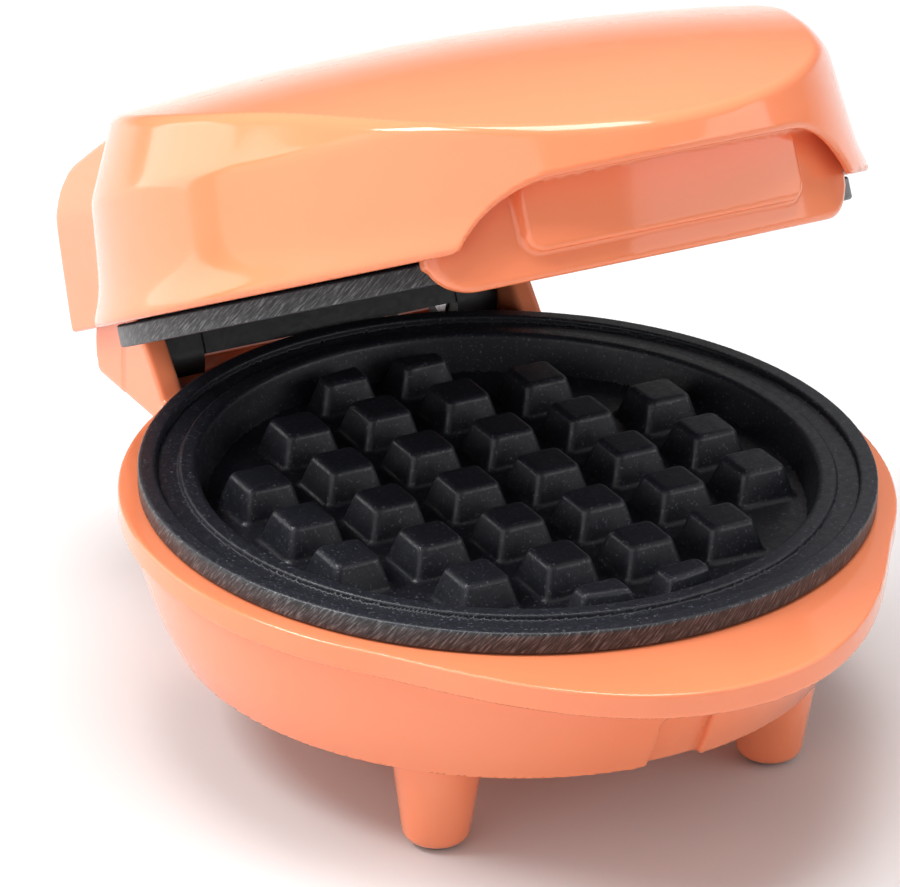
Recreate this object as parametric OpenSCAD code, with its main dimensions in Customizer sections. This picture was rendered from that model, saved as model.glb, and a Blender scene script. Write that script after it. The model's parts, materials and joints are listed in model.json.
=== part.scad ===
// Compact round waffle maker: tapered base on four cone feet, hinged lid, two cast waffle plates.
// Heights are counted from the floor, and depths from the middle of the plates, +Y to the hinge.

/* [Shape] */
// Outer radius of the rim of both waffle plates
plate_r = 63; // [52:0.5:76]
// Height of the lower plate's rim above the floor
rim_z = 47.3; // [40:0.1:60]
// Reach of the deck past the rim of the lower plate
deck_edge = 3.4; // [2.8:0.1:6]
// Amount by which the base wall draws in from the deck to its lower edge
wall_taper = 8.1; // [6:0.1:11]
// Height of the base wall's lower edge above the floor
skirt_z = 17.5; // [14.5:0.1:21]
// Thickness of the moulded walls
wall = 2.4; // [1.8:0.1:3]

/* [Lid] */
// Angle of the lid above its closed position
lid_open = 27; // [0:1:95]
// Height of the lid's crown above the plates' meeting plane
crown_h = 41.5; // [36:0.5:50]
// Fore and aft radius of the lid's crowned top
crown_r = 238.5; // [200:0.5:300]
// Sideways radius of the lid's crowned top
crown_side_r = 468; // [300:1:600]
// Reach of the lid wall's lower edge past the rim of the plates
lid_edge = 3.5; // [3.2:0.1:5]
// Height at which the lid's wall turns in
bevel_z = 25.2; // [22:0.1:30]

/* [Handle] */
// Radius of the round front of the lid's brow
brow_r = 42.5; // [38:0.1:50]
// Reach of the brow in front of the plates
brow_out = 17; // [12:0.1:20]
// Height of the finger scoop under the brow
scoop_z = 13.2; // [11:0.1:15]
// Half width of the finger pad
pad_half_w = 25.5; // [20:0.1:28]
// Radius of the base's front lip
lip_r = 38.9; // [34:0.1:46]
// Reach of the base's lip in front of the plates
lip_out = 17.7; // [13:0.1:21]
// Thickness of the lip
lip_t = 4.5; // [3.5:0.1:6]

/* [Hinge] */
// Depth of the hinge axis behind the plates
hinge_back = 7; // [6.5:0.1:10]
// Height of the hinge axis from the plates' meeting plane
hinge_z = -3; // [-4:0.1:-1]
// Radius of the hinge barrel on the base
barrel_r = 12; // [10.5:0.1:13]
// Half width over the base's hinge cheeks
cheek_half_w = 38.6; // [32:0.1:40]
// Thickness of each hinge cheek
cheek_t = 4.5; // [4:0.1:6]
// Radius of the hinge pins
pin_r = 2.5; // [2:0.1:3]

/* [Plates] */
// Height of the rim of a plate
rim_h = 3.95; // [3:0.05:5]
// Width of the rim around the batter cavity
rim_w = 10; // [8:0.5:14]
// Depth of the batter cavity in each plate
cavity_d = 7; // [5:0.1:8]
// Spacing of the waffle studs
stud_pitch = 15.7; // [13:0.1:18]
// Radius of the tube heating element
element_r = 3.2; // [2.6:0.1:3.8]

/* [Feet] */
// Spacing of the feet from side to side
foot_dx = 65; // [56:0.5:76]
// Spacing of the feet from front to back
foot_dy = 71.4; // [60:0.5:80]
// Radius of a foot at the floor
foot_r = 5.4; // [4.5:0.1:7]
// Radius of a foot at the cover
foot_top_r = 7.9; // [7:0.1:9.5]

/* [Hidden] */
$fn = 96;
deck = -rim_h - 0.13;
skirt = skirt_z - rim_z;
floor_z = -rim_z;
grow = plate_r / 63;
deck_r = plate_r + deck_edge;
foot_ring_r = deck_r - wall_taper;
lid_r = plate_r + lid_edge;
brow_reach = plate_r + brow_out;
lip_reach = plate_r + lip_out;
hinge_y = plate_r + hinge_back;
cavity_r = plate_r - rim_w;
part_gap = 0.15;
trough_drop = 4.4;
arm_r = 6.2;
trough_r = arm_r + 0.7;
blend_step = 0.15;
plate_y = (brow_out - hinge_back) / 2 - 12.51;
bore_r = pin_r + 0.05;
pin_skin = 1.2;
brow_y = -brow_reach + brow_r;
lip_y = -lip_reach + lip_r;
inner_w = cheek_half_w - cheek_t;
arm_t = 8;
arm_x = inner_w - arm_t - 0.5;
tray_w = arm_x + arm_t;
hump_w = cheek_half_w + 3.6;
hump_y = hinge_y + 13.5;
hump_corner = wall + 0.3;
hump_bevel_z = bevel_z + 4.3;
flange_z = 5.4;
draft_z = 9.5;
plate_bottom = -cavity_d - 3;
ear_t = 0.6;
boss_drop = 1.4;
tab_t = 3;
ear_z = plate_bottom - boss_drop - ear_t;
screw_ring = 48 * grow;
post_ring = 52.5 * grow;
boss_ring = foot_ring_r - 7.8;
mouth_r = 60.4 * grow;
rim_r = 60.2 * grow;
apron_r = 66.3 * grow;
apron_out = 69.3 * grow;
apron_half_w = 38.6;
apron_low = -2.2;
brow_wall_r = 68.4 * grow;
pad_reach = 71.4 * grow;
pad_low = 2;
stud_margin = 4;
ring_r = lid_r - wall - 1.2;
coil_r = 34 * grow;
pan_z = plate_bottom - 2 * element_r - 1.4;
gland_z = skirt + 7.5;
clamp_y = 46 * grow;
clamp_h = 4.5;
block_y = 27 * grow;
fuse_y = 16;
wire_r = 1;
wire_x = 15;
cold_y = sqrt(coil_r * coil_r - 49);
cold_z = plate_bottom - element_r - 9.5;
leg_z = plate_bottom - 11;

coral = [0.97, 0.56, 0.42];
dark = [0.12, 0.12, 0.14];
steel = [0.72, 0.73, 0.75];
zinc = [0.6, 0.62, 0.64];
black = [0.05, 0.05, 0.06];
rubber = [0.15, 0.15, 0.15];
white = [0.9, 0.88, 0.84];
copper = [0.55, 0.1, 0.08];

// Places children drawn about the plates' middle and meeting plane.
module seat() { translate([0, plate_y, rim_z]) children(); }

// Turns children drawn for the closed lid up about the hinge axis.
module lift() {
    seat() translate([0, hinge_y, hinge_z]) rotate([-lid_open, 0, 0])
        translate([0, -hinge_y, -hinge_z]) children();
}

module tube(r, r_in, h) {
    difference() {
        cylinder(r = r, h = h);
        translate([0, 0, -1]) cylinder(r = r_in, h = h + 2);
    }
}

// A wire through a list of points, with round joints.
module wire(p) {
    for (i = [0:len(p) - 2]) {
        d = p[i + 1] - p[i];
        translate(p[i]) rotate([0, acos(d[2] / norm(d)), atan2(d[1], d[0])])
            cylinder(r = wire_r, h = norm(d), $fn = 12);
        if (i > 0) translate(p[i]) sphere(r = wire_r + 0.04, $fn = 12);
    }
}

module x_rod(r, x0, x1) { translate([x0, 0, 0]) rotate([0, 90, 0]) cylinder(r = r, h = x1 - x0); }

// A round plan swelling with its wall, for the lid: lower edge, flange, draft and bevel.
module swelled(r, i, low) {
    rotate_extrude() polygon([[0, low], [r - i, low], [r - i, flange_z], [r - 2.1 - i, draft_z],
        [r - 3.5 - i, bevel_z], [r - 8 - i, bevel_z + 9.4], [r - 10 - i, bevel_z + 14],
        [r - 14 - i, bevel_z + 22], [0, bevel_z + 22]]);
}

// Concave sweep that carries the round wall into the brow, one on each side.
module brow_blend(i, low) {
    rf = 15 + i;
    tool = rf + blend_step;
    ra = lid_r - 2.6 - i;
    rb = brow_r - i;
    d = -brow_y;
    c = ((ra + rf) * (ra + rf) - (rb + rf) * (rb + rf) + d * d) / (2 * d);
    x = sqrt((ra + rf) * (ra + rf) - c * c);
    for (s = [-1, 1]) difference() {
        translate([0, 0, low]) linear_extrude(bevel_z + 22 - low)
            polygon([[0, 0], [s * x, -c], [0, brow_y]]);
        translate([s * x, -c, 0]) rotate_extrude() polygon([[0, low - 1], [tool, low - 1],
            [tool, draft_z], [tool + 1, bevel_z], [tool + 5.5, bevel_z + 9.4],
            [tool + 11.5, bevel_z + 22.5], [0, bevel_z + 22.5]]);
    }
}

// Lid volume shrunk by i, down to a level.
module lid_form(i, low) {
    intersection() {
        union() {
            swelled(lid_r, i, low);
            brow_blend(i, low);
            translate([0, brow_y, 0]) rotate_extrude() polygon([[0, low], [brow_r - i, low],
                [brow_r - i, scoop_z], [brow_r - 1 - i, bevel_z],
                [brow_r - 5.5 - i, bevel_z + 9.4], [brow_r - 11.5 - i, bevel_z + 22],
                [0, bevel_z + 22]]);
            intersection() {
                rotate([90, 0, 90]) translate([0, 0, -hump_w]) linear_extrude(2 * hump_w)
                    polygon([[20, low], [hump_y - i, low], [hump_y - i, flange_z],
                    [hump_y - 1.2 - i, hump_bevel_z], [hump_y - 11.2 - i, hump_bevel_z + 10],
                    [hump_y - 22 - i, hump_bevel_z + 16], [20, hump_bevel_z + 16]]);
                rotate([90, 0, 0]) translate([0, 0, -100]) linear_extrude(90)
                    polygon([[-hump_w + i, low], [-hump_w + i, flange_z],
                    [-hump_w + 0.8 + i, bevel_z], [-hump_w + 4.6 + i, bevel_z + 9.4],
                    [-hump_w + 9 + i, bevel_z + 20], [hump_w - 9 - i, bevel_z + 20],
                    [hump_w - 4.6 - i, bevel_z + 9.4], [hump_w - 0.8 - i, bevel_z],
                    [hump_w - i, flange_z], [hump_w - i, low]]);
                translate([0, 0, low]) union() {
                    translate([-hump_w + i, 20, 0])
                        cube([2 * hump_w - 2 * i, hump_y - hump_corner - 20, bevel_z + 30]);
                    translate([-hump_w + hump_corner, 20, 0])
                        cube([2 * (hump_w - hump_corner), hump_y - 20 - i, bevel_z + 30]);
                    for (s = [-1, 1])
                        translate([s * (hump_w - hump_corner), hump_y - hump_corner, 0])
                        cylinder(r = hump_corner - i, h = bevel_z + 30);
                }
            }
        }
        translate([0, 22, crown_h - crown_r - i]) rotate([0, 90, 0]) rotate_extrude()
            intersection() {
                translate([crown_r - crown_side_r, 0]) circle(r = crown_side_r, $fn = 180);
                translate([0, -110]) square([crown_r + 10, 220]);
            }
    }
}

// Fillet-ended plan of the base's lip.
module lip_plan(i, h) {
    rf = 12;
    ra = deck_r - i;
    rb = lip_r - i;
    d = -lip_y;
    c = ((ra + rf) * (ra + rf) - (rb + rf) * (rb + rf) + d * d) / (2 * d);
    x = sqrt((ra + rf) * (ra + rf) - c * c);
    translate([0, lip_y, 0]) cylinder(r = rb, h = h);
    for (s = [-1, 1]) difference() {
        linear_extrude(h) polygon([[0, 0], [s * x, -c], [0, lip_y]]);
        translate([s * x, -c, -1]) cylinder(r = rf + blend_step, h = h + 2);
    }
}

module screw(r, h, head_r, head_h) {
    difference() {
        union() {
            cylinder(r = r, h = h);
            translate([0, 0, -head_h]) cylinder(r = head_r, h = head_h);
        }
        for (a = [0, 90]) rotate([0, 0, a]) translate([-head_r * 0.6, -0.35, -head_h - 1])
            cube([head_r * 1.2, 0.7, 1.9]);
    }
}

module at_feet() {
    for (x = [-1, 1], y = [-1, 1]) translate([x * foot_dx / 2, y * foot_dy / 2, 0]) children();
}

module at_cover_screws() {
    for (a = [20, 160, 200, 340]) rotate([0, 0, a]) translate([boss_ring, 0, 0]) children();
}

module at_plate_screws() {
    for (a = [45, 135, 225, 315]) rotate([0, 0, a]) translate([screw_ring, 0, 0]) children();
}

module at_posts() {
    for (a = [0, 90, 180, 270]) rotate([0, 0, a]) translate([post_ring, 0, 0]) children();
}

module at_thermostat_screws() {
    for (s = [-1, 1]) translate([s * 10.2, 0, 0]) children();
}

// Outside of the base's wall shrunk by i, with the deck on top.
module base_form(i) {
    rotate_extrude() polygon([[0, deck], [deck_r - 0.9 - i, deck],
        [deck_r - 0.25 - i, deck - 0.3], [deck_r - i, deck - 1], [deck_r - i, deck - 3.4],
        [deck_r - 0.8 - i, deck - 4.3], [deck_r - 2 - i, deck - 8],
        [deck_r - 3.6 - i, deck - 13], [foot_ring_r + 2.4 - i, skirt + 6],
        [foot_ring_r - i, skirt], [0, skirt]]);
}

module hinge_block() {
    difference() {
        union() {
            translate([-cheek_half_w, 40, hinge_z - 6])
                cube([2 * cheek_half_w, hinge_y - 36, deck - hinge_z + 6]);
            for (s = [0, 1]) mirror([s, 0, 0]) {
                translate([0, hinge_y, hinge_z]) x_rod(barrel_r, inner_w, cheek_half_w);
                rotate([90, 0, 90]) translate([0, 0, inner_w]) linear_extrude(cheek_t)
                    polygon([[hinge_y - 14.5, deck - 0.5], [hinge_y - 6, hinge_z + 8.2],
                    [hinge_y + 4, hinge_z + 8], [hinge_y + 4, deck - 1],
                    [hinge_y - 6, deck - 2]]);
            }
        }
        translate([0, 0, hinge_z - 26]) cylinder(r = deck_r - 2.4, h = 26 + deck - wall - hinge_z);
        cylinder(r = plate_r + 1.5, h = 60);
        translate([0, 0, deck - 10]) cylinder(r = mouth_r, h = 20);
        translate([-60, 30, hinge_z - 26]) cube([120, 80, 20]);
        translate([0, hinge_y, hinge_z]) x_rod(trough_r, -inner_w, inner_w);
        translate([-inner_w, hinge_y - 2, hinge_z - 3]) cube([2 * inner_w, 40, 40]);
        translate([-inner_w, hinge_y - 8, deck]) cube([2 * inner_w, 40, 40]);
    }
    // trough under the hinge arms
    difference() {
        translate([0, hinge_y, hinge_z]) x_rod(trough_r + 1.3, -inner_w - 1, inner_w + 1);
        translate([0, hinge_y, hinge_z]) x_rod(trough_r, -cheek_half_w, cheek_half_w);
        translate([-60, hinge_y - 20, hinge_z - trough_drop]) cube([120, 40, 20]);
    }
}

module base_housing() {
    color(coral) seat() difference() {
        union() {
            difference() {
                base_form(0);
                intersection() {
                    translate([0, 0, -0.01]) base_form(wall);
                    translate([0, 0, skirt - 1]) cylinder(r = 90, h = deck - wall - skirt + 1);
                }
                translate([0, 0, skirt - 1]) cylinder(r = foot_ring_r - wall, h = 2);
                translate([0, 0, deck - 10]) cylinder(r = mouth_r, h = 20);
            }
            difference() {
                translate([0, 0, deck - lip_t]) lip_plan(0, lip_t);
                base_form(wall / 2);
            }
            hinge_block();
            // bosses for the cover's screws, each tied to the wall by a rib
            at_cover_screws() {
                translate([0, 0, skirt + 3]) cylinder(r = 3.6, h = 10);
                translate([0, -1, skirt + 5]) cube([foot_ring_r + 1 - boss_ring, 2, 8]);
            }
            // tabs that carry the lower plate
            at_plate_screws() {
                translate([0, 0, ear_z - tab_t]) cylinder(r = 4, h = tab_t);
                translate([0, -1.5, ear_z - tab_t])
                    cube([deck_r - 3.4 - screw_ring, 3, tab_t]);
            }
        }
        at_cover_screws() translate([0, 0, skirt]) cylinder(r = 1.3, h = 11);
        at_plate_screws() translate([0, 0, ear_z - tab_t - 1]) cylinder(r = 1.7, h = tab_t + 2);
        for (s = [0, 1]) mirror([s, 0, 0]) translate([0, hinge_y, hinge_z])
            x_rod(pin_r, inner_w - 1, cheek_half_w - pin_skin);
        // cord outlet and the lid wire's way through the back wall
        translate([0, foot_ring_r - 12, gland_z]) rotate([-90, 0, 0]) cylinder(r = 4.6, h = 30);
        translate([wire_x, hinge_y - 16, hinge_z - 3]) rotate([-90, 0, 0])
            cylinder(r = 1.7, h = 14);
        // moulded recess at the front, under the lip
        difference() {
            translate([-5, -foot_ring_r - 8, skirt - 1]) cube([10, 12, 12]);
            base_form(1.4);
            translate([0, 0, skirt - 1.5]) cylinder(r = foot_ring_r - 1.4, h = 2);
        }
    }
}

module base_cover() {
    color(coral) seat() difference() {
        union() {
            translate([0, 0, skirt]) cylinder(r = foot_ring_r - wall - 0.3, h = 2.4);
            at_feet() {
                translate([0, 0, floor_z + 2.5])
                    cylinder(r1 = foot_r, r2 = foot_top_r, h = skirt - floor_z - 2.5);
                translate([0, 0, floor_z + 0.6])
                    cylinder(r1 = foot_r - 1.2, r2 = foot_r, h = 1.9);
            }
            at_cover_screws() translate([0, 0, skirt + 1]) cylinder(r = 3.2, h = 1.9);
            for (s = [-1, 1]) translate([s * 8, clamp_y, skirt + 1])
                cylinder(r = 2.6, h = gland_z - skirt - 1.2);
        }
        at_feet() translate([0, 0, floor_z + 4])
            cylinder(r1 = foot_r - 2, r2 = foot_top_r - 2, h = skirt - floor_z + 2);
        at_feet() translate([0, 0, floor_z - 1]) cylinder(r = foot_r - 2.2, h = 2.9);
        at_cover_screws() translate([0, 0, skirt - 1]) cylinder(r = 1.7, h = 6);
        at_cover_screws() translate([0, 0, skirt - 0.1]) cylinder(r = 3.1, h = 1.6);
        for (s = [-1, 1]) translate([s * 8, clamp_y, skirt - 1]) cylinder(r = 1, h = 12);
        for (i = [-3:3]) translate([i * 6 - 1, -14, skirt - 1]) cube([2, 28, 5]);
    }
}

module foot_pads() {
    color(rubber) seat() at_feet() translate([0, 0, floor_z])
        cylinder(r = foot_r - 2.25, h = 1.85);
}

module cover_screws() {
    color(steel) seat() at_cover_screws() translate([0, 0, skirt + 1.5])
        screw(1.25, 8.5, 2.7, 1.2);
}

// A plate with its cavity upward; the lid's plate is the same casting turned over.
module plate_body() {
    difference() {
        union() {
            rotate_extrude() polygon([[0, plate_bottom], [cavity_r - 1, plate_bottom],
                [cavity_r + 2.5, -6], [59.2 * grow, -6], [59.2 * grow, -rim_h],
                [plate_r, -rim_h], [plate_r, -0.5], [plate_r - 0.5, 0],
                [rim_r, 0], [59.5 * grow, -1.2], [cavity_r + 3.4, -1.2],
                [cavity_r + 2.7, -0.3], [cavity_r + 0.7, -0.3], [cavity_r - 0.8, -cavity_d],
                [0, -cavity_d]]);
            intersection() {
                for (i = [-4:3], j = [-3:3])
                    if (norm([i + 0.5, j]) * stud_pitch < cavity_r - stud_margin)
                    translate([(i + 0.5) * stud_pitch, j * stud_pitch, -cavity_d - 0.5])
                    rotate([0, 0, 45]) cylinder(r1 = stud_pitch * 0.53, r2 = stud_pitch * 0.36,
                        h = cavity_d - 0.5, $fn = 4);
                translate([0, 0, -cavity_d - 1])
                    cylinder(r1 = cavity_r - 2.4, r2 = cavity_r - 4, h = cavity_d + 1);
            }
            at_plate_screws() translate([0, 0, plate_bottom - boss_drop])
                cylinder(r = 3.4, h = 2);
            at_thermostat_screws() translate([0, 0, plate_bottom - 2.4]) cylinder(r = 2, h = 3);
        }
        at_plate_screws() translate([0, 0, plate_bottom - 2]) cylinder(r = 1.5, h = 4.2);
        at_thermostat_screws() translate([0, 0, plate_bottom - 3]) cylinder(r = 1, h = 4.6);
    }
}

// Tube element bent in a ring, with two cold ends turned down.
module element_body() {
    difference() {
        rotate_extrude() translate([coil_r, 0]) circle(r = element_r);
        translate([-7, 0, -10]) cube([14, 80, 20]);
    }
    for (s = [-1, 1]) translate([s * 7, cold_y, 0]) {
        sphere(r = element_r + 0.05);
        translate([0, 0, -9.4]) cylinder(r = 1.6, h = 8);
    }
}

// Dished heat shield, drawn with its ears' upper face at zero.
module reflector_body() {
    pan = ear_z + ear_t - pan_z;
    pan_r = screw_ring - 4.6;
    difference() {
        union() {
            translate([0, 0, -pan]) cylinder(r = pan_r, h = 0.6);
            translate([0, 0, -pan]) tube(pan_r, pan_r - 0.6, pan);
            at_plate_screws() {
                translate([0, 0, -ear_t]) cylinder(r = 3.4, h = ear_t);
                translate([-5.1, -2.5, -ear_t]) cube([5, 5, ear_t]);
            }
        }
        for (s = [-1, 1]) translate([s * 7, cold_y, -pan - 1]) cylinder(r = 3, h = 4);
        translate([0, 0, -pan - 1]) cylinder(r = 13, h = 4);
        at_plate_screws() translate([0, 0, -3]) cylinder(r = 1.7, h = 6);
    }
}

module lower_plate() { color(dark) seat() plate_body(); }

module lower_element() {
    color(steel) seat() translate([0, 0, plate_bottom - element_r - 0.1]) element_body();
}

module lower_reflector() {
    color(zinc) seat() translate([0, 0, ear_z + ear_t]) reflector_body();
}

module lower_plate_screws() {
    color(steel) seat() at_plate_screws() translate([0, 0, ear_z - tab_t - 0.02])
        screw(1.45, tab_t + ear_t + boss_drop + 2, 3, 1.6);
}

// Bimetal thermostat, drawn from the lower face of its case.
module thermostat_body() {
    difference() {
        union() {
            cylinder(r = 8.2, h = 5);
            translate([0, 0, 5]) cylinder(r = 3, h = 2.2);
            translate([-12.4, -2.5, 4]) cube([24.8, 5, 0.85]);
        }
        at_thermostat_screws() translate([0, 0, 3]) cylinder(r = 1.05, h = 3);
    }
    for (s = [-1, 1]) translate([s * 6 - 0.4, -2, -3.6]) cube([0.8, 4, 4.1]);
}

module base_thermostat() {
    color(white) seat() translate([0, 0, plate_bottom - 7.3]) thermostat_body();
}

module thermostat_screws() {
    color(steel) seat() at_thermostat_screws() translate([0, 0, plate_bottom - 3.34])
        screw(0.95, 4.6, 1.7, 1);
}

module thermal_fuse() {
    color(white) seat() translate([0, fuse_y, pan_z - 2.3]) {
        x_rod(2.2, -6, 6);
        x_rod(0.5, -10, 10);
    }
}

module terminal_block() {
    color(white) seat() translate([0, block_y, skirt + 2.4]) difference() {
        translate([-11, -4, 0]) cube([22, 8, 6.5]);
        for (x = [-7, 0, 7]) translate([x, -5, 2.6]) rotate([-90, 0, 0])
            cylinder(r = 1.3, h = 10);
        for (x = [-7, 0, 7]) translate([x, 0, 3.2]) cylinder(r = 1.6, h = 5);
    }
}

module base_wiring() {
    way_z = skirt + 5;
    fuse_z = pan_z - 2.3;
    color(copper) seat() {
        wire([[7, cold_y, cold_z - 0.2], [7, cold_y, way_z], [7, block_y + 1, way_z]]);
        wire([[-7, cold_y, cold_z - 0.2], [-7, cold_y, way_z], [-14, cold_y, way_z],
            [-14, 8, way_z], [-6, 0, leg_z - 1.2]]);
        wire([[6, 0, leg_z - 1.2], [12, 8, leg_z - 1.2], [11.6, fuse_y, fuse_z],
            [10.2, fuse_y, fuse_z]]);
        wire([[-10.2, fuse_y, fuse_z], [-11.6, fuse_y, fuse_z], [-7, block_y - 7, way_z],
            [-7, block_y - 1, way_z]]);
        wire([[0, block_y + 1, way_z], [0, block_y + 6, way_z], [wire_x, block_y + 12, way_z],
            [wire_x, hinge_y - 15, hinge_z - 5], [wire_x, hinge_y - 5, hinge_z - 3],
            [wire_x, hinge_y, hinge_z], [0.4, hinge_y, hinge_z]]);
    }
}

module cord_gland() {
    out = foot_ring_r - wall;
    color(black) seat() translate([0, 0, gland_z]) rotate([-90, 0, 0]) difference() {
        union() {
            translate([0, 0, out - 1.6]) cylinder(r = 4.9, h = 1.8);
            translate([0, 0, out - 1.6]) cylinder(r = 4.5, h = 10);
            translate([0, 0, out + 7.4]) cylinder(r = 5.4, h = 1.6);
            translate([0, 0, out + 8]) cylinder(r1 = 5, r2 = 4.2, h = 4.8);
        }
        translate([0, 0, out - 4]) cylinder(r = 3, h = 40);
    }
}

module cord_clamp() {
    color(black) seat() difference() {
        translate([-11.5, clamp_y - 3.5, gland_z - 0.2]) cube([23, 7, clamp_h]);
        translate([0, clamp_y - 5, gland_z]) rotate([-90, 0, 0]) cylinder(r = 3, h = 10);
        for (s = [-1, 1]) translate([s * 8, clamp_y, gland_z - 2]) cylinder(r = 1.5, h = 8);
    }
}

module cord_clamp_screws() {
    color(steel) seat() for (s = [-1, 1]) translate([s * 8, clamp_y, gland_z + clamp_h - 0.18])
        rotate([180, 0, 0]) screw(0.98, 9, 2.1, 1.3);
}

module hinge_pins() {
    color(steel) seat() for (s = [0, 1]) mirror([s, 0, 0])
        translate([0, hinge_y, hinge_z]) x_rod(pin_r, arm_x - 0.5, cheek_half_w - pin_skin);
}

// Raised pad under the brow, curved like the apron, that the fingers push up to open the lid.
module finger_pad() {
    intersection() {
        translate([0, 0, pad_low]) cylinder(r = pad_reach, h = scoop_z + 2 - pad_low);
        translate([-pad_half_w, -90, 0]) cube([2 * pad_half_w, 60, scoop_z + 3]);
    }
}

module lid_housing() {
    color(coral) lift() difference() {
        union() {
            difference() {
                lid_form(0, 4.3);
                lid_form(wall, 0);
            }
            // brow's inner wall, the apron in front of the plates, and the finger pad on it
            intersection() {
                translate([0, 0, apron_low]) tube(brow_wall_r, apron_r, scoop_z + 10);
                translate([-apron_half_w, -90, apron_low]) cube([2 * apron_half_w, 60, scoop_z + 10]);
                lid_form(0.4, -3);
            }
            intersection() {
                translate([0, 0, apron_low]) tube(apron_out, apron_r, 6.6);
                translate([-apron_half_w, -90, apron_low]) cube([2 * apron_half_w, 60, 6.6]);
            }
            difference() {
                finger_pad();
                translate([0, 0, -1]) cylinder(r = apron_r, h = scoop_z + 8);
            }
            // brow's floor
            intersection() {
                translate([0, 0, scoop_z]) cylinder(r = 100, h = 1.8);
                lid_form(0.4, 0);
                difference() {
                    translate([-37, -90, 0]) cube([74, 60, 30]);
                    cylinder(r = apron_r, h = 40);
                }
            }
            // posts for the carrier
            intersection() {
                at_posts() translate([0, 0, 14.4]) cylinder(r = 3.4, h = 40);
                lid_form(1.2, 0);
            }
        }
        at_posts() translate([0, 0, 14]) cylinder(r = 1.2, h = 7);
        // finger scoop below the brow
        difference() {
            union() {
                translate([-26, -100, -8]) cube([52, 60, scoop_z + 8]);
                translate([-37, -100, -8]) cube([74, 60, scoop_z - 3]);
                for (s = [-1, 1]) translate([s * 26, -100, scoop_z - 11]) rotate([-90, 0, 0])
                    cylinder(r = 11, h = 60);
            }
            translate([0, 0, -9]) cylinder(r = brow_wall_r, h = scoop_z + 20);
            translate([-apron_half_w, -90, apron_low]) intersection() {
                translate([apron_half_w, 90, 0]) tube(apron_out, rim_r, 5);
                cube([2 * apron_half_w, 60, 5]);
            }
            finger_pad();
        }
    }
}

// Inner carrier that closes the lid round the plate.
module lid_carrier() {
    top = part_gap - ear_z;
    color(black) lift() difference() {
        union() {
            translate([0, 0, 5]) tube(ring_r, rim_r, 2);
            // rear plate over the hinge
            difference() {
                translate([-tray_w, 50 * grow, 7.6])
                    cube([2 * tray_w, hinge_y + 8 - 50 * grow, 2]);
                cylinder(r = rim_r, h = 20);
            }
            // shroud that hides the hinge between the arms
            translate([0.4 - arm_x, hinge_y - arm_r, hinge_z - 1])
                cube([2 * arm_x - 0.8, 2, 9 - hinge_z]);
            difference() {
                translate([-28, 50 * grow, 5]) cube([56, 15, 4.6]);
                cylinder(r = rim_r, h = 20);
                translate([0, 0, 4]) tube(90, ring_r, 10);
            }
            // arms that reach in over the plate, to its screws and to the lid's posts
            for (a = [0:45:315]) rotate([0, 0, a]) {
                translate([rim_r, -2, 5]) cube([1.1, 4, top - 3]);
                translate([screw_ring, -2, top]) cube([61.3 * grow - screw_ring, 4, 2]);
            }
            at_plate_screws() translate([0, 0, top]) cylinder(r = 3.6, h = 2);
            at_posts() translate([0, 0, top]) cylinder(r = 3.3, h = 14.3 - top);
        }
        at_plate_screws() translate([0, 0, top - 1]) cylinder(r = 1.7, h = 5);
        at_posts() translate([0, 0, top - 1]) cylinder(r = 1.4, h = 5);
        translate([-wire_x, hinge_y, 6]) cylinder(r = 2.2, h = 6);
        for (s = [-1, 1]) translate([s * (arm_x + arm_t / 2), hinge_y + 5, 6])
            cylinder(r = 1.4, h = 6);
    }
}

module upper_plate() {
    color(dark) lift() translate([0, 0, part_gap]) mirror([0, 0, 1]) plate_body();
}

module upper_element() {
    color(steel) lift() translate([0, 0, part_gap - plate_bottom + element_r + 0.1])
        mirror([0, 0, 1]) element_body();
}

module upper_reflector() {
    color(zinc) lift() translate([0, 0, part_gap - ear_z - ear_t]) mirror([0, 0, 1])
        reflector_body();
}

module upper_plate_screws() {
    color(steel) lift() at_plate_screws() translate([0, 0, part_gap - ear_z + 2.02])
        mirror([0, 0, 1]) screw(1.45, ear_t + boss_drop + 3.6, 3, 1.6);
}

module lid_thermostat() {
    color(white) lift() translate([0, 0, part_gap - plate_bottom + 7.3])
        mirror([0, 0, 1]) thermostat_body();
}

module lid_thermostat_screws() {
    color(steel) lift() at_thermostat_screws() translate([0, 0, part_gap - plate_bottom + 3.34])
        mirror([0, 0, 1]) screw(0.95, 4.6, 1.7, 1);
}

module lid_wiring() {
    end_z = -cold_z + part_gap + 0.2;
    over_z = -leg_z + part_gap + 1.2;
    color(copper) lift() {
        wire([[-0.4, hinge_y, hinge_z], [-wire_x, hinge_y, hinge_z], [-wire_x, hinge_y, 13],
            [-11, cold_y + 12, 23], [-7, cold_y, end_z + 3], [-7, cold_y, end_z]]);
        wire([[7, cold_y, end_z], [7, cold_y, end_z + 3], [14, 20, 24], [6, 0, over_z]]);
        wire([[-6, 0, over_z], [-16, 24, 24], [-13.5, cold_y + 12, 23]]);
    }
}

module hinge_arms() {
    color(black) lift() for (s = [0, 1]) mirror([s, 0, 0]) difference() {
        union() {
            translate([0, hinge_y, hinge_z]) x_rod(arm_r, arm_x, arm_x + arm_t);
            translate([arm_x, hinge_y - arm_r, hinge_z]) cube([arm_t, 9.4, 7.5 - hinge_z]);
            translate([arm_x, hinge_y - arm_r, 5.2]) cube([arm_t, 14, 2.3]);
        }
        translate([0, hinge_y, hinge_z]) x_rod(bore_r, arm_x - 1, arm_x + arm_t + 1);
        translate([arm_x + arm_t / 2, hinge_y + 5, 4]) cylinder(r = 1.25, h = 5);
    }
}

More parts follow.
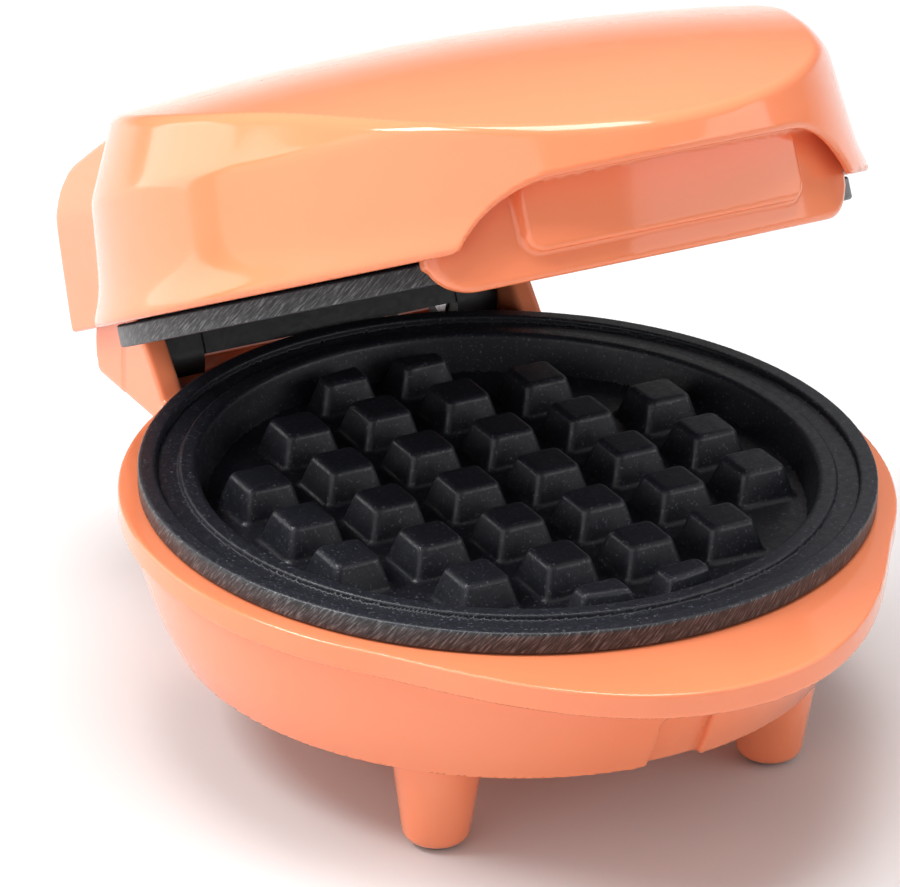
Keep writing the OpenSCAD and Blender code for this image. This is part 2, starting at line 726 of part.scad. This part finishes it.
module hinge_arm_screws() {
    color(steel) lift() for (s = [-1, 1])
        translate([s * (arm_x + arm_t / 2), hinge_y + 5, 9.62]) mirror([0, 0, 1])
        screw(1.2, 4.2, 2.4, 1.4);
}

module carrier_screws() {
    top = part_gap - ear_z;
    color(steel) lift() at_posts() translate([0, 0, top - 0.02]) screw(1.15, 8, 2.2, 1.2);
}

base_housing();
base_cover();
foot_pads();
cover_screws();
lower_plate();
lower_element();
lower_reflector();
lower_plate_screws();
base_thermostat();
thermostat_screws();
thermal_fuse();
terminal_block();
base_wiring();
cord_gland();
cord_clamp();
cord_clamp_screws();
hinge_pins();
lid_housing();
lid_carrier();
upper_plate();
upper_element();
upper_reflector();
upper_plate_screws();
lid_thermostat();
lid_thermostat_screws();
lid_wiring();
hinge_arms();
hinge_arm_screws();
carrier_screws();
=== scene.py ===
"""Compact round waffle maker: the looks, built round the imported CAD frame.

Moulded shells and cast plates are closed surfaces of a distance field, drawn in millimetres about
the middle of the plates with the lid shut, then set in place in metres. The lid's pieces turn up
about the hinge by the angle at which the frame holds it at rest.
"""

import json
import math

import bpy
import numpy as np
from mathutils import Matrix, Vector


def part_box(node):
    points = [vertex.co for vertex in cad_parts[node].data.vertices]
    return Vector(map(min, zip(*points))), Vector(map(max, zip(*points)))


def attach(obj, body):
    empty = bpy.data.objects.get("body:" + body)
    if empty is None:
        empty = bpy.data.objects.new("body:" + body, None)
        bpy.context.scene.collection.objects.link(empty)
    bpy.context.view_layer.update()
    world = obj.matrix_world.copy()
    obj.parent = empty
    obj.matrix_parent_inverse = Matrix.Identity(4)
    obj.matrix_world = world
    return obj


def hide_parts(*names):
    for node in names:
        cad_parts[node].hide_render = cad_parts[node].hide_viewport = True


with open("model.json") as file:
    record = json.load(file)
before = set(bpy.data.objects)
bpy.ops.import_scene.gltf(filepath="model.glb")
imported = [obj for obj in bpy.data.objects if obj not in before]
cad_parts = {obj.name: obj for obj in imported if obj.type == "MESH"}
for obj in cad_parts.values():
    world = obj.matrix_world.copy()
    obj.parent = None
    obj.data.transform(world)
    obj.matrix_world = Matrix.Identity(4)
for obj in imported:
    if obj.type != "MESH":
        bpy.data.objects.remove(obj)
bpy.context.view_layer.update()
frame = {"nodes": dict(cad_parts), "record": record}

MM = 0.001

# Places and angles read from the frame.
plate_low, plate_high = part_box("lower_plate")
PLATE_R = (plate_high.x - plate_low.x) / 2 / MM
CENTRE = Vector((0, (plate_low.y + plate_high.y) / 2, plate_high.z))
hinge = frame["record"]["behaviour"]["joints"][0]
HINGE = Vector(hinge["pos_m"]) - CENTRE
LID_OPEN = math.radians(-hinge["range_deg"][0])
HINGE_Y = HINGE.y / MM
HINGE_Z = HINGE.z / MM
FLOOR_Z = -CENTRE.z / MM

# Sizes that part.scad gives the same shapes.
WALL = 2.4
RIM_H = 3.95
DECK = -RIM_H - 0.13
DECK_R = 66.4
MOUTH_R = 60.4
SKIRT = 17.5 + FLOOR_Z
FOOT_RING_R = 58.3
LIP_R = 38.9
LIP_REACH = 80.7
LIP_T = 4.5
LID_R = 66.36
LID_LOW = 4.3
BEVEL_Z = 25.2
CROWN_H = 41.5
CROWN_Y = 22.0
CROWN_R = 238.5
CROWN_SIDE_R = 468.0
BROW_R = 42.5
BROW_REACH = 80.0
SCOOP_Z = 13.2
APRON_OUT = 69.3
PAD_HALF_W = 25.5
PAD_REACH = 71.4
PAD_LOW = 2.0
APRON_R = 66.6
APRON_HALF_W = 38.8
BROW_WALL_R = 68.4
BROW_BACK_R = 66.3
FLANGE_Z = 5.6
DRAFT_Z = 9.3
CHEEK_HALF_W = 38.6
CHEEK_T = 4.5
BARREL_R = 12.0
TROUGH_R = 6.9
HUMP_HALF_W = CHEEK_HALF_W + 3.6
HUMP_REACH = HINGE_Y + 13.5
HUMP_BEVEL_Z = BEVEL_Z + 4.3
HUMP_CORNER = 2.7
CAVITY_R = 53.0
CAVITY_D = 7.0
STUD_PITCH = 15.7
STUD_MARGIN = 4
RIM_IN = 59.9
RIDGE_OUT = 3.0
CHANNEL_D = 1.2
FOOT_DX = 65.0
FOOT_DY = 71.4
FOOT_R = 5.4
FOOT_TOP_R = 7.9
NOTCH_DEPTH = 1.4
SCREW_RING = 50.5
SCREW_ANGLES = (20, 160, 200, 340)
VENT_PITCH = 6


# ---------------------------------------------------------------- distance fields

def ramp(x, width):
    """Zero below nought, x above it, with a soft knee."""
    return (x + np.sqrt(x * x + width * width)) / 2


def blend(a, b, k):
    """Union of two fields with a soft fillet about k wide."""
    h = np.clip(0.5 + 0.5 * (b - a) / k, 0, 1)
    return b * (1 - h) + a * h - k * h * (1 - h)


def join(a, b, r):
    """Union with a round fillet of radius r."""
    return np.maximum(r, np.minimum(a, b)) - np.hypot(np.maximum(r - a, 0), np.maximum(r - b, 0))


def meet(a, b, r):
    """Intersection with a round edge of radius r."""
    return np.minimum(-r, np.maximum(a, b)) + np.hypot(np.maximum(r + a, 0), np.maximum(r + b, 0))


def cut(a, b, r):
    """a without b, with a round edge of radius r."""
    return meet(a, -b, r)


def slab(v, low, high):
    """Layer between two values."""
    return np.maximum(low - v, v - high)


def rectangle(u, v, half_u, half_v, r):
    """Rectangle about the origin with corners of radius r."""
    du, dv = np.abs(u) - half_u + r, np.abs(v) - half_v + r
    return np.hypot(np.maximum(du, 0), np.maximum(dv, 0)) + np.minimum(np.maximum(du, dv), 0) - r


def bent_line(z, knots):
    """Offset that changes slope at each (height, slope, softness)."""
    total, before = 0 * z, 0
    for height, slope, softness in knots:
        total = total + (slope - before) * ramp(z - height, softness)
        before = slope
    return total


def surface(field, low, high, step):
    """Closed quad mesh of field = 0 between two corners: surface nets, pulled onto the true surface."""
    axes = [np.arange(a - 1.5 * step, b + 2.5 * step, step) for a, b in zip(low, high)]
    value = field(*np.meshgrid(*axes, indexing="ij"))
    size = np.array(value.shape)
    cells = tuple(size - 1)
    keys, spots, quads = [], [], []
    for axis in range(3):
        others = [i for i in range(3) if i != axis]
        first = np.take(value, range(size[axis] - 1), axis)
        second = np.take(value, range(1, size[axis]), axis)
        at = np.argwhere((first < 0) != (second < 0))
        a, b = first[tuple(at.T)], second[tuple(at.T)]
        spot = at.astype(float)
        spot[:, axis] += a / (a - b)
        ring = []
        for du, dv in ((0, 0), (1, 0), (1, 1), (0, 1)):
            cell = at.copy()
            cell[:, others[0]] -= du
            cell[:, others[1]] -= dv
            key = np.ravel_multi_index(tuple(cell.T), cells, mode="clip")
            keys.append(key)
            spots.append(spot)
            ring.append(key)
        ring = np.stack(ring, 1)
        flip = (a < 0) == (axis == 1)
        ring[flip] = ring[flip][:, ::-1]
        quads.append(ring)
    keys, spots = np.concatenate(keys), np.concatenate(spots)
    used, index = np.unique(keys, return_inverse=True)
    count = np.bincount(index)
    points = np.stack([np.bincount(index, spots[:, i]) / count for i in range(3)], 1)
    points = points * step + np.array([a[0] for a in axes])
    faces = np.searchsorted(used, np.concatenate(quads))
    slope = gradient(field, points)
    for _ in range(5):
        pull = field(*points.T)[:, None] * slope / np.maximum((slope**2).sum(1), 0.04)[:, None]
        points = points - np.clip(pull, -0.5 * step, 0.5 * step)
        slope = gradient(field, points)
    return points, faces, slope / np.linalg.norm(slope, axis=1)[:, None]


def gradient(field, points, h=0.03):
    """Slope of a field by central differences."""
    slope = np.empty_like(points)
    for i in range(3):
        shift = np.zeros(3)
        shift[i] = h
        slope[:, i] = (field(*(points + shift).T) - field(*(points - shift).T)) / (2 * h)
    return slope


def piece(name, field, low, high, step, body, materials, replaces=(), pick=None):
    """Meshes a field and sets it in place on its body; pick(points) chooses each face's material."""
    points, faces, normals = surface(field, low, high, step)
    place = Matrix.Translation(CENTRE)
    if body == "lid":
        turn = Matrix.Rotation(-LID_OPEN, 4, "X")
        place = place @ Matrix.Translation(HINGE) @ turn @ Matrix.Translation(-HINGE)
    matrix = np.array(place)
    mesh = bpy.data.meshes.new(name)
    spots = points * MM @ matrix[:3, :3].T + matrix[:3, 3]
    mesh.from_pydata(spots.tolist(), [], faces.tolist())
    mesh.polygons.foreach_set("use_smooth", [True] * len(mesh.polygons))
    for material in materials:
        mesh.materials.append(material)
    if pick is not None:
        mesh.polygons.foreach_set("material_index", pick(points[faces].mean(1)).astype(np.int32))
    mesh.update()
    mesh.normals_split_custom_set_from_vertices((normals @ matrix[:3, :3].T).tolist())
    made = bpy.data.objects.new(name, mesh)
    bpy.context.scene.collection.objects.link(made)
    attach(made, body)
    if replaces:
        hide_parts(*replaces)
    return made


# ---------------------------------------------------------------- the shells

def crown(x, y, z):
    """Distance above the lid's crowned top."""
    reach = np.hypot(y - CROWN_Y, z - CROWN_H + CROWN_R)
    return np.hypot(reach - CROWN_R + CROWN_SIDE_R, x) - CROWN_SIDE_R


def lid_plan(x, y, z):
    """Distance outside the lid's wall, seen in plan: round body, brow in front, hump behind."""
    flange = [(FLANGE_Z, 0.5, 0.6), (DRAFT_Z, 0.09, 3.0), (BEVEL_Z, 0.48, 0.9)]
    body = np.hypot(x, y) - LID_R + bent_line(z, flange)
    bevel = [(SCOOP_Z, 0.08, 2.0), (BEVEL_Z, 0.48, 0.9)]
    brow = np.hypot(x, y + BROW_REACH - BROW_R) - BROW_R + bent_line(z, bevel)
    side = bent_line(z, [(5.4, 0.04, 0.8), (BEVEL_Z, 0.4, 1.2)])
    back = bent_line(z, [(5.4, 0.05, 0.8), (HUMP_BEVEL_Z, 1.0, 1.0)])
    near = 20.0
    hump = rectangle(x, y - (near + HUMP_REACH - back) / 2, HUMP_HALF_W - side,
                     (HUMP_REACH - back - near) / 2, HUMP_CORNER)
    return blend(join(body, brow, 15), hump, 7)


def lid_shell(x, y, z):
    """The lid's moulding: shell, brow with its scoop, apron and finger pad."""
    plan, top, r = lid_plan(x, y, z), crown(x, y, z), np.hypot(x, y)
    outer = meet(plan, top, 1.3)
    shell = meet(outer, LID_LOW - z, 0.7)
    shell = cut(shell, np.maximum(plan + WALL, top + WALL), 0.4)
    front = np.maximum(np.abs(x) - 38.6, y)
    closing = np.minimum(slab(z, SCOOP_Z, SCOOP_Z + 2), slab(r, BROW_BACK_R, BROW_WALL_R))
    closing = np.maximum(np.maximum(closing, outer + 0.3), np.maximum(front, BROW_BACK_R - r))
    closing = np.maximum(closing, 3 - z)
    shell = np.minimum(shell, closing)
    scoop = rectangle(x, z - SCOOP_Z + 40, 38.2, 40, 17)
    scoop = np.maximum(scoop, np.maximum(BROW_WALL_R - r, y))
    shell = cut(shell, scoop, 1.0)
    apron = meet(rectangle(x, z - 8.8, APRON_HALF_W, 11, 6.5), slab(r, APRON_R, APRON_OUT), 0.9)
    apron = np.maximum(apron, y)
    shell = join(shell, np.maximum(apron, z - SCOOP_Z - 1), 1.2)
    pad_mid = (PAD_LOW + SCOOP_Z + 1.4) / 2
    pad = rectangle(x, z - pad_mid, PAD_HALF_W, pad_mid - PAD_LOW, 2.8)
    pad = np.maximum(meet(pad, slab(r, APRON_R, PAD_REACH), 0.8), y)
    return join(shell, pad, 0.9)


def base_wall(r, z):
    """Distance outside the base's tapering wall."""
    wall = bent_line(-z, [(-DECK + 4, 0.32, 3.0), (-SKIRT - 6, 0.52, 3.0)])
    return r - DECK_R + 0.9 + wall


def hinge_block(x, y, z):
    """Cheeks that hold the hinge pins, the floor between them and the trough under the arms."""
    away = np.hypot(y - HINGE_Y, z - HINGE_Z)
    within = CHEEK_HALF_W - CHEEK_T
    ahead = (HINGE_Y - 10.2 - y) * 0.72 + (z - HINGE_Z) * 0.69 - 3.4
    cheek = np.maximum(np.maximum(y - HINGE_Y, ahead), slab(z, HINGE_Z - 6, HINGE_Z + BARREL_R))
    cheek = np.minimum(cheek, np.maximum(away - BARREL_R, HINGE_Y - y))
    cheek = meet(cheek, slab(np.abs(x), within, CHEEK_HALF_W), 0.8)
    floor = np.maximum(slab(z, HINGE_Z - 6, DECK), slab(y, 52, HINGE_Y - 3))
    floor = np.maximum(floor, np.abs(x) - CHEEK_HALF_W + 1)
    trough = np.maximum(slab(away, TROUGH_R, TROUGH_R + 1.3), z - HINGE_Z + 4.4)
    trough = np.maximum(trough, np.abs(x) - within - 1)
    block = meet(np.minimum(cheek, floor), HINGE_Z - 6 - z, 1.2)
    block = np.minimum(np.maximum(block, PLATE_R + 1.5 - np.hypot(x, y)), trough)
    return np.maximum(block, np.where(np.abs(x) < within, TROUGH_R - away, -9))


def base_shell(x, y, z):
    """The base's moulding: deck, lip, tapering wall, front recess and hinge cheeks."""
    r = np.hypot(x, y)
    ahead = np.hypot(x, y + LIP_REACH - LIP_R) - LIP_R
    deck = join(r - DECK_R, ahead, 12)
    deck = meet(deck, slab(z, DECK - LIP_T, DECK), 0.55)
    wall = np.maximum(base_wall(r, z), z - DECK + 1)
    solid = join(deck, wall, 0.7)
    solid = np.maximum(solid, SKIRT - z)
    block = hinge_block(x, y, z)
    inner = np.maximum(base_wall(r, z) + WALL, z - DECK + WALL)
    solid = cut(solid, inner, 0.4)
    solid = join(solid, block, 1.0)
    solid = cut(solid, np.maximum(r - MOUTH_R, DECK - 10 - z), 0.5)
    backing = np.maximum(slab(base_wall(r, z), -WALL - NOTCH_DEPTH, -1),
                         slab(z, SKIRT + 2.8, SKIRT + 14))
    backing = np.maximum(backing, np.maximum(np.abs(x) - 7, y))
    solid = np.minimum(solid, backing)
    recess = rectangle(x, z - SKIRT, 5, 11, 1.5)
    recess = np.maximum(recess, np.maximum(-base_wall(r, z) - NOTCH_DEPTH, y))
    solid = cut(solid, recess, 0.5)
    outlet = np.maximum(np.hypot(x, z - SKIRT - 7.5) - 4.6, 40 - y)
    return cut(solid, outlet, 0.3)


def cover(x, y, z):
    """Bottom cover with its four cone feet, screw pockets and vents."""
    r = np.hypot(x, y)
    disc = meet(r - FOOT_RING_R + WALL + 0.3, slab(z, SKIRT, SKIRT + 2.4), 0.4)
    out = np.hypot(np.abs(x) - FOOT_DX / 2, np.abs(y) - FOOT_DY / 2)
    taper = (FOOT_TOP_R - FOOT_R) / (SKIRT - FLOOR_Z)
    foot = out - FOOT_R - taper * (z - FLOOR_Z)
    foot = meet(foot, slab(z, FLOOR_Z + 0.6, SKIRT + 2), 1.8)
    solid = join(disc, foot, 1.2)
    hollow = np.maximum(foot + 2.2, FLOOR_Z + 4 - z)
    solid = np.maximum(solid, -hollow)
    solid = np.maximum(solid, -np.maximum(out - FOOT_R + 2.2, z - FLOOR_Z - 1.9))
    vents = rectangle(np.mod(x + VENT_PITCH / 2, VENT_PITCH) - VENT_PITCH / 2, y, 1, 14, 1)
    solid = cut(solid, np.maximum(vents, np.abs(x) - 19.5), 0.3)
    for angle in SCREW_ANGLES:
        turn = math.radians(angle)
        away = np.hypot(x - SCREW_RING * math.cos(turn), y - SCREW_RING * math.sin(turn))
        solid = np.maximum(solid, -np.maximum(away - 3.1, z - SKIRT - 1.5))
    return solid


def plate(x, y, z):
    """A cast plate, cavity up: rim, channel, ridge, cavity and square studs."""
    r = np.hypot(x, y)
    rim = meet(r - PLATE_R, slab(z, -RIM_H, 0), 0.55)
    cup = np.maximum(r - 59.2, slab(z, -6.0, -CHANNEL_D))
    pan = np.maximum(r - CAVITY_R - 2 - 0.8 * (z + 6), slab(z, -10, -3))
    solid = join(np.minimum(rim, cup), pan, 1.0)
    channel = np.maximum(slab(r, CAVITY_R + RIDGE_OUT, RIM_IN), -CHANNEL_D - z)
    solid = cut(solid, channel, 0.45)
    ridge = np.maximum(r - CAVITY_R - RIDGE_OUT, -0.3 - z)
    solid = cut(solid, ridge, 0.4)
    cavity = np.maximum(r - CAVITY_R - 0.25 * (z + 0.3), -CAVITY_D - z)
    solid = cut(solid, cavity, 0.8)
    u = np.mod(x, STUD_PITCH) - STUD_PITCH / 2
    v = np.mod(y + STUD_PITCH / 2, STUD_PITCH) - STUD_PITCH / 2
    column, row = x - u, y - v
    within = np.hypot(column, row) < CAVITY_R - STUD_MARGIN
    half = 5.8 - 0.29 * (z + CAVITY_D)
    stud = meet(rectangle(u, v, half, half, 1.4), slab(z, -CAVITY_D - 1, -1.0), 0.9)
    stud = np.where(within, stud, 5.0)
    stud = meet(stud, r - CAVITY_R + 3.2 + 0.25 * (z + CAVITY_D), 0.9)
    return join(solid, stud, 0.9)


# ---------------------------------------------------------------- materials

def new_material(name):
    """A material with its nodes, links and shader."""
    made = bpy.data.materials.new(name)
    made.use_nodes = True
    nodes, links = made.node_tree.nodes, made.node_tree.links
    shader = nodes["Principled BSDF"]
    return made, nodes, links, shader


def noise(nodes, links, scale, detail=3.0, roughness=0.5, stretch=None):
    """Noise in the row frame's metres, so the grain keeps its size on every piece."""
    place = nodes.new("ShaderNodeTexCoord")
    grain = nodes.new("ShaderNodeTexNoise")
    grain.inputs["Scale"].default_value = scale
    grain.inputs["Detail"].default_value = detail
    grain.inputs["Roughness"].default_value = roughness
    spot = place.outputs["Object"]
    if stretch:
        mapping = nodes.new("ShaderNodeMapping")
        mapping.inputs["Scale"].default_value = stretch
        links.new(spot, mapping.inputs["Vector"])
        spot = mapping.outputs["Vector"]
    links.new(spot, grain.inputs["Vector"])
    return grain.outputs["Fac"]


def spread(nodes, links, fac, low, high, from_low=0.3, from_high=0.7):
    """Maps a grain to a range of values."""
    change = nodes.new("ShaderNodeMapRange")
    change.inputs["From Min"].default_value = from_low
    change.inputs["From Max"].default_value = from_high
    change.inputs["To Min"].default_value = low
    change.inputs["To Max"].default_value = high
    links.new(fac, change.inputs["Value"])
    return change.outputs["Result"]


def shades(nodes, links, fac, *stops):
    """Colour ramp through (position, colour) stops."""
    colours = nodes.new("ShaderNodeValToRGB")
    elements = colours.color_ramp.elements
    while len(elements) < len(stops):
        elements.new(0.5)
    for element, (position, colour) in zip(elements, stops):
        element.position = position
        element.color = (*colour, 1)
    links.new(fac, colours.inputs["Fac"])
    return colours.outputs["Color"]


def bump(nodes, links, shader, height, distance, strength):
    """Lifts the surface by a grain."""
    lift = nodes.new("ShaderNodeBump")
    lift.inputs["Distance"].default_value = distance
    lift.inputs["Strength"].default_value = strength
    links.new(height, lift.inputs["Height"])
    links.new(lift.outputs["Normal"], shader.inputs["Normal"])


def reckon(nodes, links, operation, *values):
    """One sum: each value is a number or another node's output."""
    made = nodes.new("ShaderNodeMath")
    made.operation = operation
    for value, socket in zip(values, made.inputs):
        if isinstance(value, float):
            socket.default_value = value
        else:
            links.new(value, socket)
    return made.outputs[0]


def coral_plastic():
    """Glossy moulded plastic with a faint flow shade and a polished, slightly wavy skin."""
    made, nodes, links, shader = new_material("coral_gloss")
    flow = noise(nodes, links, 26, 4)
    colour = shades(nodes, links, flow, (0.25, (0.90, 0.25, 0.112)), (0.75, (0.93, 0.272, 0.125)))
    links.new(colour, shader.inputs["Base Color"])
    polish = spread(nodes, links, noise(nodes, links, 240, 3), 0.10, 0.17)
    links.new(polish, shader.inputs["Roughness"])
    shader.inputs["IOR"].default_value = 1.5
    shader.inputs["Coat Weight"].default_value = 0.25
    shader.inputs["Coat Roughness"].default_value = 0.03
    shader.inputs["Subsurface Weight"].default_value = 0.08
    shader.inputs["Subsurface Radius"].default_value = (1.0, 0.4, 0.2)
    shader.inputs["Subsurface Scale"].default_value = 0.002
    bump(nodes, links, shader, noise(nodes, links, 90, 2), 0.00004, 0.35)
    return made


def nonstick():
    """Baked non-stick coating: near black, faintly blue, with fine bright flecks."""
    made, nodes, links, shader = new_material("nonstick_coating")
    flecks = noise(nodes, links, 1900, 2, 0.6)
    colour = shades(nodes, links, flecks, (0.0, (0.012, 0.0125, 0.017)),
                    (0.62, (0.018, 0.019, 0.026)), (0.70, (0.10, 0.105, 0.13)))
    links.new(colour, shader.inputs["Base Color"])
    gloss = spread(nodes, links, noise(nodes, links, 700, 3), 0.32, 0.5)
    links.new(gloss, shader.inputs["Roughness"])
    shader.inputs["Specular IOR Level"].default_value = 0.5
    bump(nodes, links, shader, noise(nodes, links, 1500, 3), 0.00005, 0.5)
    return made


def cut_rim():
    """The plates' turned edge: bare grey scored by short slanting tool marks under a thin coat."""
    made, nodes, links, shader = new_material("scored_rim")
    place = nodes.new("ShaderNodeTexCoord")
    split = nodes.new("ShaderNodeSeparateXYZ")
    links.new(place.outputs["Object"], split.inputs["Vector"])
    angle = reckon(nodes, links, "ARCTAN2", split.outputs["Y"], split.outputs["X"])
    round_way = reckon(nodes, links, "MULTIPLY", angle, PLATE_R * MM)
    slant = reckon(nodes, links, "MULTIPLY_ADD", split.outputs["Z"], -0.75, round_way)
    along = nodes.new("ShaderNodeCombineXYZ")
    links.new(slant, along.inputs["X"])
    links.new(split.outputs["Z"], along.inputs["Y"])
    mapping = nodes.new("ShaderNodeMapping")
    mapping.inputs["Scale"].default_value = (1.0, 0.16, 1.0)
    links.new(along.outputs["Vector"], mapping.inputs["Vector"])
    scratches = nodes.new("ShaderNodeTexNoise")
    scratches.inputs["Scale"].default_value = 2600
    scratches.inputs["Detail"].default_value = 3
    scratches.inputs["Roughness"].default_value = 0.65
    links.new(mapping.outputs["Vector"], scratches.inputs["Vector"])
    colour = shades(nodes, links, scratches.outputs["Fac"], (0.36, (0.018, 0.018, 0.02)),
                    (0.52, (0.05, 0.05, 0.053)), (0.68, (0.17, 0.17, 0.175)))
    links.new(colour, shader.inputs["Base Color"])
    shader.inputs["Metallic"].default_value = 0.35
    shader.inputs["Roughness"].default_value = 0.42
    bump(nodes, links, shader, scratches.outputs["Fac"], 0.00012, 0.8)
    return made


def simple(name, low, high, metallic, roughness, scale, depth, stretch=None):
    """A plain engineering finish: two shades of one colour, uneven gloss and a fine grain."""
    made, nodes, links, shader = new_material(name)
    colour = shades(nodes, links, noise(nodes, links, scale / 6, 4), (0.3, low), (0.7, high))
    links.new(colour, shader.inputs["Base Color"])
    grain = noise(nodes, links, scale, 4, 0.6, stretch)
    links.new(spread(nodes, links, grain, roughness[0], roughness[1]), shader.inputs["Roughness"])
    shader.inputs["Metallic"].default_value = metallic
    bump(nodes, links, shader, grain, depth, 0.5)
    return made


CORAL = coral_plastic()
COATING = nonstick()
RIM = cut_rim()
FINISHES = {
    "steel": simple("zinc_steel", (0.42, 0.42, 0.43), (0.6, 0.6, 0.62), 1, (0.22, 0.4), 900, 0.00003),
    "shield": simple("aluminium_sheet", (0.6, 0.6, 0.61), (0.74, 0.74, 0.75), 1, (0.25, 0.42), 500,
                     0.00003, (1, 12, 1)),
    "heater": simple("heater_sheath", (0.16, 0.15, 0.145), (0.26, 0.25, 0.24), 1, (0.38, 0.6), 700,
                     0.00004),
    "black_nylon": simple("black_nylon", (0.012, 0.012, 0.013), (0.022, 0.022, 0.024), 0,
                          (0.42, 0.58), 1100, 0.00006),
    "ceramic": simple("ceramic", (0.66, 0.63, 0.56), (0.78, 0.76, 0.7), 0, (0.45, 0.65), 600, 0.00004),
    "sleeving": simple("braid_sleeving", (0.5, 0.47, 0.4), (0.7, 0.67, 0.6), 0, (0.7, 0.9), 2200,
                       0.0001),
    "pad_rubber": simple("pad_rubber", (0.02, 0.02, 0.02), (0.035, 0.035, 0.035), 0, (0.6, 0.8), 900,
                         0.00005),
}


# ---------------------------------------------------------------- the pieces

def is_rim(points):
    """1 where a face is on the plate's turned edge."""
    r = np.hypot(points[:, 0], points[:, 1])
    side = (r > PLATE_R - 0.12) & (np.abs(points[:, 2]) < RIM_H - 0.3)
    return side.astype(int)


def turned_over(field):
    """The lid's plate: the same casting facing down, just clear of the lower one."""
    return lambda x, y, z: field(x, y, 0.15 - z)


fine = 0.7
plate_step = 0.5
piece("lid_moulding", lid_shell, (-67, -81, -3), (67, HUMP_REACH, 43), fine, "lid",
      [CORAL], ["lid_housing"])
piece("base_moulding", base_shell, (-67, -82, SKIRT), (67, HINGE_Y + 13, HINGE_Z + 13), fine, "base",
      [CORAL], ["base_housing"])
piece("base_bottom", cover, (-58, -58, FLOOR_Z), (58, 58, SKIRT + 3), fine, "base",
      [CORAL], ["base_cover"])
piece("lower_waffle_plate", plate, (-PLATE_R, -PLATE_R, -11), (PLATE_R, PLATE_R, 0), plate_step,
      "base", [COATING, RIM], ["lower_plate"], pick=is_rim)
piece("upper_waffle_plate", turned_over(plate), (-PLATE_R, -PLATE_R, 0), (PLATE_R, PLATE_R, 11),
      plate_step, "lid", [COATING, RIM], ["upper_plate"], pick=is_rim)

slots = {s["node"]: s["material_slot"] for s in frame["record"]["subparts"]}
for node, made in frame["nodes"].items():
    if slots[node] in FINISHES:
        made.data.materials.clear()
        made.data.materials.append(FINISHES[slots[node]])


# ---------------------------------------------------------------- stage, light and camera

def stage_material(name, colour, roughness):
    made, _, _, shader = new_material(name)
    shader.inputs["Base Color"].default_value = (*colour, 1)
    shader.inputs["Roughness"].default_value = roughness
    return made


def stage():
    """Plain pale floor."""
    mesh = bpy.data.meshes.new("stage_floor")
    wide = 6.0
    corners = [(-wide, -wide, 0), (wide, -wide, 0), (wide, wide, 0), (-wide, wide, 0)]
    mesh.from_pydata(corners, [], [(0, 1, 2, 3)])
    mesh.materials.append(stage_material("floor_paper", (0.66, 0.66, 0.66), 0.7))
    floor = bpy.data.objects.new("stage_floor", mesh)
    bpy.context.scene.collection.objects.link(floor)


def softbox(name, place, aim, width, height, power):
    """Rectangular soft light turned to face a point."""
    light = bpy.data.lights.new(name, "AREA")
    light.shape = "RECTANGLE"
    light.size, light.size_y = width, height
    light.energy = power
    made = bpy.data.objects.new(name, light)
    made.location = place
    made.rotation_mode = "QUATERNION"
    made.rotation_quaternion = (Vector(aim) - Vector(place)).to_track_quat("-Z", "Y")
    bpy.context.scene.collection.objects.link(made)


def camera():
    """The camera stands a metre away, 29 degrees left of the front and 26 above the deck."""
    azimuth, elevation, roll = math.radians(-29.42), math.radians(25.74), math.radians(1.354)
    distance, across, up = 1.0, -0.009957, 0.002963
    back = Vector((math.sin(azimuth) * math.cos(elevation), -math.cos(azimuth) * math.cos(elevation),
                   math.sin(elevation)))
    right = Vector((math.cos(azimuth), math.sin(azimuth), 0))
    top = back.cross(right)
    data = bpy.data.cameras.new("camera")
    data.sensor_width = 36.0
    data.lens = 234.9
    data.clip_start, data.clip_end = 0.05, 50
    made = bpy.data.objects.new("camera", data)
    spot = CENTRE + back * distance + right * across + top * up
    side = right * math.cos(roll) + top * math.sin(roll)
    over = top * math.cos(roll) - right * math.sin(roll)
    made.matrix_world = Matrix((
        (side.x, over.x, back.x, spot.x),
        (side.y, over.y, back.y, spot.y),
        (side.z, over.z, back.z, spot.z),
        (0, 0, 0, 1)))
    bpy.context.scene.collection.objects.link(made)
    bpy.context.scene.camera = made


def studio_world():
    """Even white sky that greys towards the horizon, so glossy edges stay drawn against it."""
    world = bpy.data.worlds.new("studio")
    world.use_nodes = True
    nodes, links = world.node_tree.nodes, world.node_tree.links
    place = nodes.new("ShaderNodeTexCoord")
    split = nodes.new("ShaderNodeSeparateXYZ")
    links.new(place.outputs["Generated"], split.inputs["Vector"])
    glow = spread(nodes, links, split.outputs["Z"], 0.12, 0.5, 0.0, 0.7)
    links.new(glow, nodes["Background"].inputs["Strength"])
    nodes["Background"].inputs["Color"].default_value = (1, 1, 1, 1)
    bpy.context.scene.world = world


def lighting():
    """Softboxes round the machine, each where its reflection falls in the right place."""
    studio_world()
    centre = tuple(CENTRE)
    softbox("high_left", (-0.66, 0.22, 0.95), centre, 0.4, 0.4, 8)
    softbox("left_front", (-1.0, -0.22, 0.42), centre, 1.4, 0.75, 3.6)
    softbox("left_back", (-0.75, 0.8, 0.3), centre, 0.7, 0.6, 3)
    softbox("top", (0.0, 0.05, 1.25), centre, 0.7, 0.7, 14)
    softbox("right_front", (0.74, -0.74, 0.4), centre, 1.2, 0.5, 3)
    bpy.context.scene.view_settings.view_transform = "Standard"


stage()
lighting()
camera()
